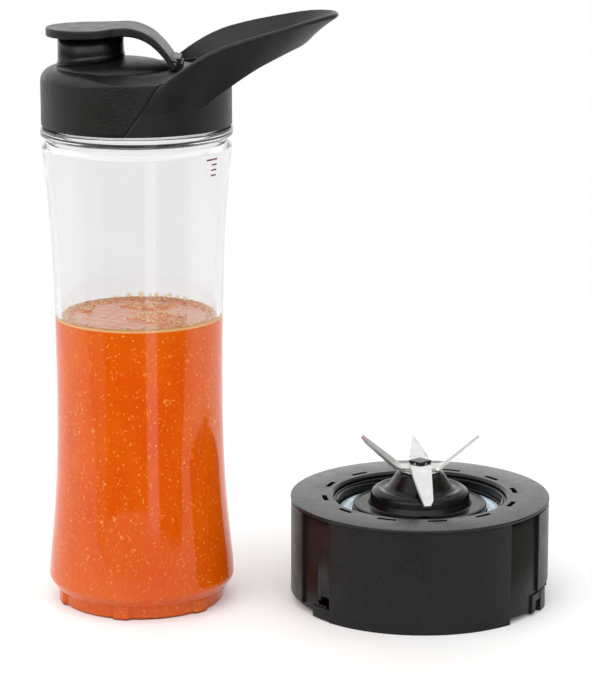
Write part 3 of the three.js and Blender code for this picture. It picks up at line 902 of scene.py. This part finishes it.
def flap_outline(inset):
    """Half the flap's outline as (s, w): s along the flap from x = 0, w from its middle line."""
    neck_length = 6.0
    arm_length = 30.5
    turn_in = math.asin(0.80)
    r = FLAP_R - inset
    angles = [lerp(math.pi, turn_in, k / 44) for k in range(45)]
    points = [(FLAP_CENTRE + r * math.cos(a), r * math.sin(a)) for a in angles]
    last_s, last_w = points[-1]
    arm_w = ARM_HALF - inset
    for k in range(1, 13):
        t = k / 12
        points.append((last_s + neck_length * t, arm_w + (last_w - arm_w) * (1 - t) ** 2))
    points += [(last_s + neck_length + arm_length * k / 30, arm_w) for k in range(1, 31)]
    return points


FLAP_LENGTH = sum((Vector(b) - Vector(a)).length for a, b in zip(FLAP_TOP, FLAP_TOP[1:]))


def flap_place(s, w, depth):
    """Bends the flat flap: s becomes distance along the top curve, depth goes down from the top."""
    t = min(max((s - FLAP_TOP[0][0]) / FLAP_LENGTH, 0), 1)
    e = 0.004
    tangent = (spline(FLAP_TOP, min(t + e, 1)) - spline(FLAP_TOP, max(t - e, 0))).normalized()
    thickness = lerp(1.0, 0.66, smoothstep(0.55, 1.0, t))
    p = spline(FLAP_TOP, t) - Vector((-tangent.y, tangent.x)) * depth * thickness
    return (BOTTLE_X + p.x, w, p.y)


def flap_plate():
    edge = 0.55
    across = 14
    quarter = [k / 4 * math.pi / 2 for k in range(5)]
    rings = [(edge * (1 - math.sin(a)), edge * (1 - math.cos(a))) for a in quarter]
    rings += ([(0, FLAP_T * 0.33), (0, FLAP_T * 0.66)]
              + [(inset, FLAP_T - depth) for inset, depth in rings[::-1]])
    outlines = [flap_outline(inset) for inset, _ in rings]
    count = len(outlines[0])
    verts = []
    for outline, (_, depth) in zip(outlines, rings):
        verts += [flap_place(s, w, depth) for s, w in outline]
        verts += [flap_place(s, -w, depth) for s, w in reversed(outline)]
    faces = grid_faces(len(rings), 2 * count, False, True)
    for end in (0, -1):
        start = len(verts)
        for s, w in outlines[end]:
            verts += [flap_place(s, w * (1 - 2 * m / across), rings[end][1]) for m in range(across + 1)]
        faces += grid_faces(count, across + 1, False, False, start)
    return make_object("flap_plate", verts, faces, lid_black, 60)


def flap():
    skirt = turned("flap_skirt", [(12.75, 227.0), (13.1, 225.05, 0.2), (13.9, 225.05, 0.4),
                                  (13.9, 226.6, 0.5), (13.5, 227.6, 0.6), (13.4, 238.6), (12.7, 238.6)],
                   satin_black, BOTTLE_X + SKIRT_X, 128, follow_dome)
    knuckles = []
    for side in (-1, 1):
        profile = rounded([(0.9, -2.2), (1.75, -2.2, 0.5), (1.75, 2.2, 0.5), (0.9, 2.2)], 3)
        verts, faces = turned_mesh(profile, segments=48)
        placed = [(BOTTLE_X + HINGE[0] + x - 0.3, side * 11.0 + z, HINGE[1] + y - 0.4) for x, y, z in verts]
        knuckles.append(make_object("knuckle", placed, faces, lid_black))
    return join("flap_body", [flap_plate()] + knuckles), skirt


def follow_dome(angle, r, z):
    """Keeps the cap's lower edge just off the dome, which rises behind it."""
    if z > 232:
        return r, z
    d = math.hypot(SKIRT_X + r * math.cos(angle) - DOME_X, r * math.sin(angle)) / DOME_R
    dome = DOME_BASE + DOME_RISE * math.sqrt(max(1 - d * d, 0)) if d < 1 else DECK_Z
    lift = max(dome + 0.35 - 225.05, 0)
    return r, z + lift * (1 - smoothstep(228, 232, z))


plate, skirt = flap()
finish_piece(plate, "flap", "satin_black", "spout_flap")
finish_piece(skirt, "flap", "satin_black")
finish_piece(turned("spout_stopper", [(0, 234.7), (7.0, 234.7, 0.8), (7.6, 236.9, 0.3), (12.2, 236.9, 0.3),
                                      (12.2, 237.7), (0, 237.7)],
                    rubber_black, BOTTLE_X + SPOUT_X, 96), "flap", "black_rubber", "spout_plug")


def hinge_pin():
    profile = rounded([(0, -12.6), (1.2, -12.6, 0.3), (1.2, 12.6, 0.3), (0, 12.6)], 3)
    verts, faces = turned_mesh(profile, segments=40)
    placed = [(BOTTLE_X + HINGE[0] + x, z, HINGE[1] + y) for x, y, z in verts]
    return make_object("hinge_pin", placed, faces, turned_steel)


finish_piece(hinge_pin(), "lid", "steel", "flap_hinge_pin")
finish_piece(turned("lid_gasket_ring", band(31.8, 34.5, 210.25, 211.85, 0.3), silicone_material, BOTTLE_X),
             "lid_carriage", "silicone", "lid_gasket")


# ---- Blade unit ----
HOUSING_R = 53.0
HOUSING_IN = HOUSING_R - 1.8
# Proud panels, ribs and hooks on half the wall, as (inner and outer radius, z0, z1, from, to) in degrees.
PANELS = ((HOUSING_IN + 0.2, HOUSING_R + 0.62, 0.0, 42.8, -46, 42),
          (HOUSING_IN + 0.2, HOUSING_R + 0.55, 0.4, 5.4, -57.5, -45.5),
          (HOUSING_R - 1, 54.2, 9.6, 42.8, 63, 88), (HOUSING_R - 1, 54.2, 3.6, 42.8, -88, -66),
          (HOUSING_R - 1, 54.2, 0.2, 9.0, 66.5, 74), (HOUSING_R - 1, 53.9, 5.6, 8.9, 60, 67),
          (HOUSING_R - 1, 53.9, 1.0, 8.9, 58.0, 61.4))
# The bayonet window's three overlapping cuts, as (from, to, z0, z1).
WINDOW = ((-54.5, -47.2, 6.2, 8.2), (-52.0, -46.6, 8.0, 10.2), (-49.2, -46.6, 5.4, 8.3))
SCREW_ANGLES = [math.radians(45 + 90 * k) for k in range(4)]
SCREW_SPOTS = [(UNIT_X + 45.5 * math.cos(a), 45.5 * math.sin(a)) for a in SCREW_ANGLES]


def housing():
    wall = turned("wall", [(HOUSING_IN, 2.3, 0.3), (HOUSING_R, 2.3, 0.4), (HOUSING_R, 42.8),
                           (HOUSING_IN, 42.8), (HOUSING_IN, 33.5, 0.6), (39.2, 33.5, 0.4), (39.2, 31.0, 0.4),
                           (HOUSING_IN, 31.0, 0.6)],
                  matte_black, UNIT_X, 288)
    parts = []
    notches = []
    for turn in (0, 180):
        for i, (r0, r1, z0, z1, a0, a1) in enumerate(PANELS):
            outline = ring_outline(r0, r1, a0 + turn, a1 + turn)
            parts.append(prism(f"panel_{i}", outline, z0, z1, matte_black, 0.22, 2, to_unit))
        for a0, a1, z0, z1 in WINDOW:
            outline = ring_outline(HOUSING_IN - 2, HOUSING_R + 2, a0 + turn, a1 + turn)
            notches.append(prism("notch", outline, z0, z1, matte_black, 0, 0, to_unit))
    for notch in notches:
        combine(wall, notch)
    for x, y in SCREW_SPOTS:
        profile = rounded([(1.4, 3.8, 0.2), (3.2, 3.8, 0.3), (3.2, 32), (1.4, 32)], 3)
        parts.append(make_object("boss", *turned_mesh(profile, x, y, 36), matte_black))
    return join("collar_wall", [wall] + parts)


SLOT_R = (39.25, 41.35)
SLOT_HALF = 5.6  # degrees
SLOT_FIRST = 8  # degrees from the front to the middle of the first slot


def top_cover():
    """The ring on top: an inner and an outer hoop, with bridges between twelve curved slots."""
    low, mid = 42.9, 43.6
    inner = turned("inner_hoop", [(36.4, low, 0.3), (SLOT_R[0], low), (SLOT_R[0], RING_TOP),
                                  (37.3, RING_TOP, 0.5), (36.3, mid, 0.4)], cover_black, UNIT_X, 288,
                   sharp=40)
    outer = turned("outer_hoop", [(SLOT_R[1], low), (53.8, low, 0.3), (54.35, mid, 0.4),
                                  (54.35, RING_TOP, 0.75), (SLOT_R[1], RING_TOP)], cover_black, UNIT_X, 288,
                   sharp=40)
    parts = [inner, outer]
    for k in range(12):
        slot = SLOT_FIRST - 90 + 30 * k
        outline = ring_outline(*SLOT_R, slot + SLOT_HALF, slot + 30 - SLOT_HALF)
        parts.append(prism("bridge", outline, low, RING_TOP, cover_black, 0, 0, to_unit))
    for k in range(6):
        outline = ring_outline(49.1, 50.5, 30 + 60 * k - 2.9, 30 + 60 * k + 2.9)
        parts.append(prism("tab", outline, 37.3, 43.2, matte_black, 0.2, 1, to_unit))
    return join("collar_cover", parts)


def carrier():
    """Screw sleeve, channel for the seal, and the hub that narrows to the shaft."""
    body = turned("carrier", [
        (7.3, 21.9, 0.3), (9.8, 21.9, 0.4), (9.8, 50), (13, 45.2, 1), (17.4, 43.6, 1), (18.7, 39.4, 0.6),
        (24.6, 39.4, 0.6), (24.6, 33.8, 0.5), (44.5, 33.8, 0.3), (44.5, 36, 0.4), (37.5, 36, 0.4),
        (37.5, 42.6, 0.7), (34.95, 42.6, 0.9), (34.95, 36.5, 0.6), (28.0, 36.5, 0.3), (28.0, 41.0, 0.7),
        (26.6, 41.3, 0.4), (25.9, 40.8, 0.3), (21.6, 40.8, 0.8), (20.9, 43.2, 0.8), (20.3, 46.4, 1.8),
        (17.6, 47.9, 1.8), (15.2, 47.3, 1.1), (13.6, 48.3, 1.0), (9.9, 53.9, 0.9), (8.9, 54.5, 0.4),
        (7.3, 54.5, 0.3)],
        satin_black, UNIT_X, 160)
    ridges = thread("carrier_thread", 35.2, 33.9, 38.2, UNIT_X, satin_black, turns=0.52, width=1.3)
    return join("carrier_body", [body, ridges])


finish_piece(housing(), "blade_unit", "matte_black", "collar_housing")
finish_piece(top_cover(), "blade_unit", "matte_black", "collar_top_cover")
finish_piece(carrier(), "blade_unit", "satin_black", "blade_carrier")
finish_piece(turned("channel_seal", [(28.3, 36.7, 0.3), (34.3, 36.7, 0.3), (34.3, 37.9, 0.5),
                                     (31.8, 38.4, 0.5), (30.4, 38.0, 0.4), (28.3, 38.4, 0.4)],
                    silicone_material, UNIT_X),
             "blade_unit", "silicone", "bottle_seal")


def bottom_cover():
    plate = turned("bottom_plate", [(23, 1.5, 0.4), (50.7, 1.5, 0.3), (50.7, 3.5, 0.3), (47.0, 3.5),
                                    (24.6, 3.5, 0.4), (23, 3.5, 0.4)], matte_black, UNIT_X, 160)
    ribs = [turned("rib", [(r, 1.0, 0.2), (r + 1.0, 1.0, 0.2), (r + 1.0, 2.4), (r, 2.4)],
                   matte_black, UNIT_X, 160)
            for r in (30.0, 40.0)]
    for x, y in SCREW_SPOTS:
        hole = turned_mesh([(0, -1), (1.7, -1), (1.7, 6), (0, 6)], x, y, 32)
        combine(plate, make_object("hole", *hole, matte_black))
    return join("bottom_plate_body", [plate] + ribs)


def screw(name, x, y):
    """A countersunk screw with a cross recess in its head, which faces down."""
    profile = rounded([(0, 0.25), (2.3, 0.25, 0.5), (2.85, 0.8, 0.3), (2.85, 1.25, 0.2), (1.15, 1.25),
                       (1.15, 13.6), (0, 14.8)], 3)
    made = make_object(name, *turned_mesh(profile, x, y, 48), turned_steel, 50)
    for turn in (20, 110):
        c, s = math.cos(math.radians(turn)), math.sin(math.radians(turn))
        slot = prism("drive", [(-1.5, -0.28), (1.5, -0.28), (1.5, 0.28), (-1.5, 0.28)], -0.5, 0.85,
                     turned_steel, 0, 0, lambda u, v, w, c=c, s=s: (x + u * c - v * s, y + u * s + v * c, w))
        combine(made, slot)
    return made


finish_piece(bottom_cover(), "blade_unit", "matte_black", "bottom_cover")
for number, spot in enumerate(SCREW_SPOTS, 1):
    finish_piece(screw(f"cover_screw_{number}", *spot), "blade_unit", "steel", f"bottom_screw_{number}")
for node, z0, z1, bore, slot_name, material in (
        ("upper_bush", 44, 52.5, 4.15, "bronze", bronze_material),
        ("lower_bush", 22.6, 31, 4.15, "bronze", bronze_material),
        ("shaft_seal", 52.8, 54.3, 4.2, "black_rubber", rubber_black)):
    ring = turned(node + "_ring", band(bore, 7.0, z0, z1, 0.3), material, UNIT_X, 96)
    finish_piece(ring, "blade_unit", slot_name, node)


# ---- Rotor ----
BLADE_T = 1.25
BEND = 8.4  # from the shaft's axis to where an arm bends
# Slope from the hub, length past the bend and pitch about the arm, then the widths at the tip before and
# behind its middle line, how far the tip's rear corner is snipped, and the ground bevel's width.
ARM_UP = {"slope": 40, "length": 21, "pitch": -12, "tip_front": 2.2, "tip_back": 2.2, "snip": 1.6,
          "ground": 1.6}
FRONT_ARM = {"slope": -33, "length": 21, "pitch": 6, "tip_front": -0.4, "tip_back": 4.7, "snip": 1.1,
             "ground": 0.5}
REAR_ARM = {"slope": 19, "length": 17.5, "pitch": -10, "tip_front": -1.4, "tip_back": 2.3, "snip": 0.3,
            "ground": 1.5}


def arm_section(arm, half_hub, d):
    """Five points round the arm's section at a distance from the shaft's axis, with the arm along +X."""
    slope = math.radians(arm["slope"])
    along = max(d - BEND, 0)
    t = along / arm["length"]
    out = min(d, BEND) + along * math.cos(slope)
    up = along * math.sin(slope) + 0.3 * math.sin(slope) * math.exp(-((d - BEND) / 1.1) ** 2)
    tilt = slope * smoothstep(BEND - 1.2, BEND + 1.2, d)
    pitch = math.radians(arm["pitch"]) * smoothstep(BEND - 1.5, BEND + 5, d)
    front = lerp(half_hub, arm["tip_front"], t)
    back = lerp(half_hub, arm["tip_back"], t) - arm["snip"] * smoothstep(0.86, 1.0, t)
    grind = min(lerp(0.15, arm["ground"], smoothstep(BEND - 2, BEND + 1, d)), 0.5 * (front + back))
    section = []
    for w, h in ((-front, 0.0), (back, 0.0), (back, BLADE_T), (-front + grind, BLADE_T), (-front, 0.35)):
        lift = h - BLADE_T / 2
        y = w * math.cos(pitch) - lift * math.sin(pitch)
        n = w * math.sin(pitch) + lift * math.cos(pitch)
        section.append((out - n * math.sin(tilt), y, up + n * math.cos(tilt) + BLADE_T / 2))
    return section


def blade(name, z, arms, half_hub, material, turn):
    """Each half of the blade is its own closed bar; they meet inside the hub."""
    stations = 60
    halves = []
    for index, arm in enumerate(arms):
        angle = math.radians(turn + 180 * index)
        c, s = math.cos(angle), math.sin(angle)
        verts = []
        for i in range(stations + 1):
            section = arm_section(arm, half_hub, lerp(-0.5, BEND + arm["length"], i / stations))
            verts += [(UNIT_X + x * c - y * s, x * s + y * c, z + up) for x, y, up in section]
        faces = grid_faces(stations + 1, 5, False, True) + end_caps(stations + 1, 5)
        halves.append(make_object(name, verts, faces, material, 12, weld=False))
    return join(name, halves)


lower = blade("blade_lower", 55.5, [ARM_UP, ARM_UP], 4.2, blade_x, 0)
upper = blade("blade_upper", 57.0, [FRONT_ARM, REAR_ARM], 4.4, blade_y, -90)
finish_piece(lower, "rotor", "blade_steel", "lower_blade")
finish_piece(upper, "rotor", "blade_steel", "upper_blade")


def square_end():
    """The shaft's square end, which rises into the riveted head over the blades."""
    outline = rounded([(x, y, 0.4) for x, y in ((-2.6, -2.6), (2.6, -2.6), (2.6, 2.6), (-2.6, 2.6))], 3, 0)
    return prism("shaft_square", outline, 54.6, 58.75, turned_steel, 0.35, 3, to_unit)


def rivet():
    """The dark riveted head that holds the blades, set cornerwise."""
    outline = [(-5.0, 0), (0, -4.6), (5.0, 0), (0, 4.6)]
    return prism("shaft_rivet", rounded([(x, y, 0.5) for x, y in outline], 3, 0), 58.2, 59.3, dark_steel, 0.4,
                 3, to_unit)


def shaft():
    body = turned("shaft_body", [(0, 8), (4, 8, 0.5), (4, 20.1), (3.2, 20.1), (3.2, 21.3), (4, 21.3),
                                 (4, 55.2, 0.3), (0, 55.2)], turned_steel, UNIT_X, 64, steps=3, sharp=50)
    return join("shaft_with_rivet", [body, square_end()])


finish_piece(shaft(), "rotor", "steel", "blade_shaft")
finish_piece(rivet(), "rotor", "steel")
for name, section, node in (("washer_under_blades", band(4.3, 8.4, 54.8, 55.35, 0.1, 0.15), "blade_washer"),
                            ("thrust_washer_ring", band(4.15, 6.9, 21.5, 22.3, 0.1, 0.2), "thrust_washer")):
    finish_piece(turned(name, section, turned_steel, UNIT_X, 96), "rotor", "steel", node)


def clip():
    outline = arc(6.4, 120, 420, 60) + arc(3.5, 420, 120, 60)
    return prism("retaining_clip_ring", outline, 20.4, 21.0, turned_steel, 0.12, 1, to_unit)


def coupling():
    """Six-lobed drive star under a round hub, with the shaft's bore through the star."""
    lobes = []
    for i in range(144):
        a = TAU * i / 144
        r = 11 + 1.9 * math.cos(6 * a)
        lobes.append((r * math.cos(a), r * math.sin(a)))
    star = prism("coupling_star", lobes, 5.5, 15.6, satin_black, 0.5, 3, to_unit)
    hub = turned("coupling_hub", [(4.3, 15.0), (9, 15.0), (9, 19.2, 0.6), (4.3, 19.2, 0.4)], satin_black,
                 UNIT_X, 72)
    bore = turned_mesh([(0, 5), (4.3, 5), (4.3, 20), (0, 20)], UNIT_X, 0, 64)
    combine(star, make_object("bore", *bore, satin_black))
    return join("drive_coupling_body", [star, hub])


finish_piece(clip(), "rotor", "steel", "retaining_clip")
finish_piece(coupling(), "rotor", "satin_black", "drive_coupling")


# ---- Floor and light ----
def floor():
    """A pale floor with painted light and shade: painted lighter round the objects to lift their shadows, and
    painted darker near the camera and far behind.
    """
    mesh = bpy.data.meshes.new("floor")
    mesh.from_pydata([(-6, -0.178, 0), (6, -0.178, 0), (6, 7, 0), (-6, 7, 0)], [], [(0, 1, 2, 3)])
    m = Nodes("pale_floor", Roughness=0.7, Specular_IOR_Level=0.1)
    y = m.add("SeparateXYZ", {0: m.position}).outputs["Y"]
    # Painted shade: the floor is painted darker near the camera.
    painted_shade_by_camera = m.mix(m.map(m.noise(0.01), 0.3, 0.7), grey(0.65), grey(0.67))
    # Painted light: the floor is painted lighter round the objects, to lift their shadows.
    near = m.mix(m.map(y, -150, -30, smooth=True), painted_shade_by_camera, grey(0.80))
    # Painted shade: the floor is painted darker far behind.
    m.feed("Base Color", m.mix(m.map(y, 120, 600, smooth=True), near, (0.62, 0.62, 0.623)))
    return place_mesh("floor", mesh, m.material)


floor()

DARK = 0.08
CEILING = 1.45
# Brightness round the horizon: azimuth in degrees from the front (-Y) towards +X, and the value from there.
LOW_BANDS = [(-180, 1.6), (-132, 0.6), (-45, DARK), (12, 1.7), (27, DARK), (69, 0.30), (115, 0.5), (152, 1.6),
             (180, 1.6)]
SHORT_BANDS = [(degrees, 0.85 if degrees == -45 else value) for degrees, value in LOW_BANDS]
MID_BANDS = [(-180, 1.6), (-132, 0.6), (-45, 0.85), (27, 0.85), (69, 0.40), (115, 0.5), (152, 1.6),
             (180, 1.6)]
HIGH_BANDS = [(-180, 1.3), (-120, 1.5), (-60, 4.2), (-15, 3.4), (50, 0.4), (110, 0.5), (150, 1.3), (180, 1.3)]


def studio():
    """A pale studio: softboxes to the left, right and behind, a narrow one in front, dark between them."""
    world = bpy.data.worlds.new("studio")
    bpy.context.scene.world = world
    world.use_nodes = True
    world.node_tree.nodes.clear()
    add = functools.partial(add_node, world.node_tree)
    ray = add("SeparateXYZ", {0: add("TexCoord").outputs["Generated"]}).outputs
    forward = add("Math", {0: ray["Y"], 1: -1}, operation="MULTIPLY").outputs[0]
    azimuth = add("Math", {0: ray["X"], 1: forward}, operation="ARCTAN2").outputs[0]
    turn = add("MapRange", {"Value": azimuth, "From Min": -math.pi, "From Max": math.pi}).outputs["Result"]

    def warm(v):
        """Grey of a given brightness; the dimmer panels are a little warm."""
        return (v, v * 0.97, v * 0.85, 1) if 0.2 < v < 0.9 else (*grey(v), 1)

    def ring(bands, soft):
        """Brightness by azimuth, with soft edges between the bands."""
        ramp = add("ValToRGB", {"Fac": turn})
        stops = ramp.color_ramp.elements
        stops[0].position, stops[0].color = 0, warm(bands[0][1])
        stops[1].position, stops[1].color = 1, warm(bands[-1][1])
        for (_, before), (degrees, value) in zip(bands, bands[1:-1]):
            for offset, v in ((-soft, before), (soft, value)):
                stops.new((degrees + offset + 180) / 360).color = warm(v)
        return ramp.outputs["Color"]

    def above(low, high, under, over):
        """Fades from one colour to another as the direction rises between two elevations."""
        low, high = math.sin(math.radians(low)), math.sin(math.radians(high))
        rise = add("MapRange", {"Value": ray["Z"], "From Min": low, "From Max": high},
                   interpolation_type="SMOOTHSTEP").outputs["Result"]
        return add("Mix", {"Factor": rise, MIX_A: under, MIX_B: over}, data_type="RGBA").outputs[MIX_RESULT]

    short = above(-8.9, -8.1, ring(LOW_BANDS, 1.2), ring(SHORT_BANDS, 1.2))
    front = above(-7.5, -6.7, short, ring(MID_BANDS, 3))
    walls = above(8, 16, front, ring(HIGH_BANDS, 12))
    light = add("Background", {"Color": above(38, 52, walls, (*grey(CEILING), 1))})
    # What is seen directly or through clear plastic is a plain white backdrop, brighter by diffuse bounces.
    path = add("LightPath").outputs
    glow = add("MapRange", {"Value": path["Diffuse Depth"], "To Min": 1.0, "To Max": 1.55}).outputs["Result"]
    backdrop = add("Background", {"Color": (1, 1, 1, 1), "Strength": glow})
    seen = add("Math", {0: path["Is Camera Ray"], 1: path["Is Transmission Ray"]},
               operation="MAXIMUM").outputs[0]
    chosen = add("MixShader", {"Fac": seen, 1: light.outputs[0], 2: backdrop.outputs[0]})
    add("OutputWorld", {"Surface": chosen.outputs[0]})


studio()
scene = bpy.context.scene
scene.view_settings.view_transform = "Standard"
scene.view_settings.look = "None"
